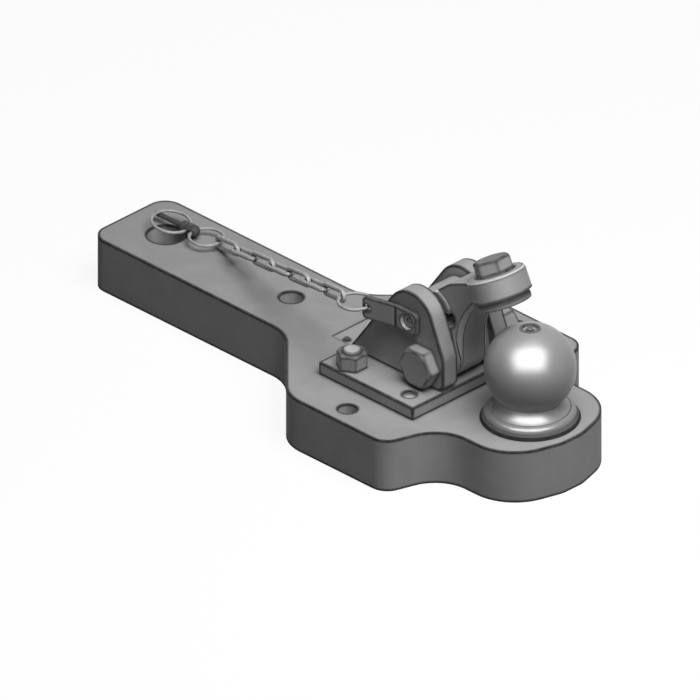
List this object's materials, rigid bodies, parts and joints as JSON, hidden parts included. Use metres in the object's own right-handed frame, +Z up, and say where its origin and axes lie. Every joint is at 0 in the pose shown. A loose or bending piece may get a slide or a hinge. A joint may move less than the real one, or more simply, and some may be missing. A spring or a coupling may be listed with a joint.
{
  "type": "trailer coupler",
  "caption": "Ball coupling on a flat drawbar plate: coupling ball, forked carrier with a hinged keeper arm over the ball, turn lock with flat handle, and a lynch pin on a chain.",
  "frame": {"origin": "axis of the drawbar's pin hole, on the bar's underside", "axes": "+X along the bar to the coupling ball, +Z up, +Y to the far side, where the pivot's nut is"},
  "size_m": [0.541, 0.243, 0.1938],
  "materials": {
    "bar_plate": "grey primer over flame-cut plate",
    "ball_steel": "turned and polished",
    "nipple_steel": "zinc plated",
    "bolt_zinc": "zinc plated",
    "carrier_plate": "grey primer, satin",
    "arm_steel": "grey primer over machined casting",
    "bush_bronze": "turned",
    "shim_steel": "spring steel",
    "pad_steel": "hardened, ground",
    "pin_steel": "turned",
    "handle_steel": "grey primer, satin",
    "ring_steel": "zinc plated",
    "chain_steel": "zinc plated",
    "lynch_steel": "zinc plated, darkened"
  },
  "bodies": {
    "drawbar": {"drawbar_plate": "bar_plate", "coupling_ball": "ball_steel", "ball_grease_nipple": "nipple_steel", "ball_washer": "bolt_zinc", "ball_bolt": "bolt_zinc", "base_plate": "carrier_plate", "near_cheek": "carrier_plate", "far_cheek": "carrier_plate", "base_studs": "bolt_zinc", "base_nuts": "bolt_zinc", "front_screws": "bolt_zinc", "seat_pin": "pin_steel", "pivot_bolt": "bolt_zinc", "pivot_washer": "bolt_zinc", "pivot_nut": "bolt_zinc"},
    "keeper": {"keeper_arm": "arm_steel", "arm_bushes": "bush_bronze", "pad_shims": "shim_steel", "hold_down_pad": "pad_steel", "pad_bolt": "bolt_zinc", "pad_spring_washer": "bolt_zinc"},
    "lock": {"lock_pin": "pin_steel", "lock_clip": "shim_steel", "lock_handle": "handle_steel"},
    "chain_ring": {"handle_ring": "ring_steel"},
    "link_1": {"chain_link_1": "chain_steel"},
    "link_2": {"chain_link_2": "chain_steel"},
    "link_3": {"chain_link_3": "chain_steel"},
    "link_4": {"chain_link_4": "chain_steel"},
    "link_5": {"chain_link_5": "chain_steel"},
    "link_6": {"chain_link_6": "chain_steel"},
    "link_7": {"chain_link_7": "chain_steel"},
    "pin_ring": {"lynch_ring": "ring_steel"},
    "lynch": {"lynch_pin": "lynch_steel"},
    "snap": {"snap_ring": "ring_steel"}
  },
  "joints": [
    {"name": "keeper_swing", "type": "hinge", "parent": "drawbar", "child": "keeper", "pos_m": [0.3535, 0, 0.0825], "axis": [0, -1, 0], "range_deg": [0, 38]},
    {"name": "lock_turn", "type": "hinge", "parent": "drawbar", "child": "lock", "pos_m": [0.336, 0, 0.1185], "axis": [0, 1, 0], "range_deg": [0, 90]},
    {"name": "chain_ring_swing", "type": "hinge", "parent": "lock", "child": "chain_ring", "pos_m": [0.29413, -0.0492, 0.1185], "axis": [0, 1, 0], "range_deg": [-97, 1]},
    {"name": "link_1_swing", "type": "hinge", "parent": "chain_ring", "child": "link_1", "pos_m": [0.26523, -0.05153, 0.1185], "axis": [-0.0802, 0.9968, 0], "range_deg": [0, 25]},
    {"name": "link_2_swing", "type": "hinge", "parent": "link_1", "child": "link_2", "pos_m": [0.2337, -0.04183, 0.10946], "axis": [-0.2527, 0.0777, 0.9644], "range_deg": [-25, 25]},
    {"name": "link_3_swing", "type": "hinge", "parent": "link_2", "child": "link_3", "pos_m": [0.20264, -0.03227, 0.10055], "axis": [0.294, 0.9558, 0], "range_deg": [0, 25]},
    {"name": "link_4_swing", "type": "hinge", "parent": "link_3", "child": "link_4", "pos_m": [0.17158, -0.02271, 0.09164], "axis": [-0.2527, 0.0777, 0.9644], "range_deg": [-25, 25]},
    {"name": "link_5_swing", "type": "hinge", "parent": "link_4", "child": "link_5", "pos_m": [0.14051, -0.01316, 0.08273], "axis": [0.294, 0.9558, 0], "range_deg": [0, 25]},
    {"name": "link_6_swing", "type": "hinge", "parent": "link_5", "child": "link_6", "pos_m": [0.10945, -0.0036, 0.07382], "axis": [-0.2527, 0.0777, 0.9644], "range_deg": [-25, 25]},
    {"name": "link_7_swing", "type": "hinge", "parent": "link_6", "child": "link_7", "pos_m": [0.07838, 0.00596, 0.06491], "axis": [0.294, 0.9558, 0], "range_deg": [0, 25]},
    {"name": "pin_ring_swing", "type": "hinge", "parent": "link_7", "child": "pin_ring", "pos_m": [0.04732, 0.01551, 0.056], "axis": [-0.2527, 0.0777, 0.9644], "range_deg": [-25, 25]},
    {"name": "lynch_swing", "type": "hinge", "parent": "pin_ring", "child": "lynch", "pos_m": [0.02111, 0.01262, 0.057], "axis": [-0.0175, 0.9998, 0], "range_deg": [0, 60]},
    {"name": "snap_ring_flip", "type": "hinge", "parent": "lynch", "child": "snap", "pos_m": [0.01461, 0.0125, 0.057], "axis": [-0.2924, 0.9563, 0], "range_deg": [0, 100]}
  ],
  "couplings": [
    {"joint": "chain_ring_swing", "follows": "lock_turn", "ratio": -1.0667}
  ]
}
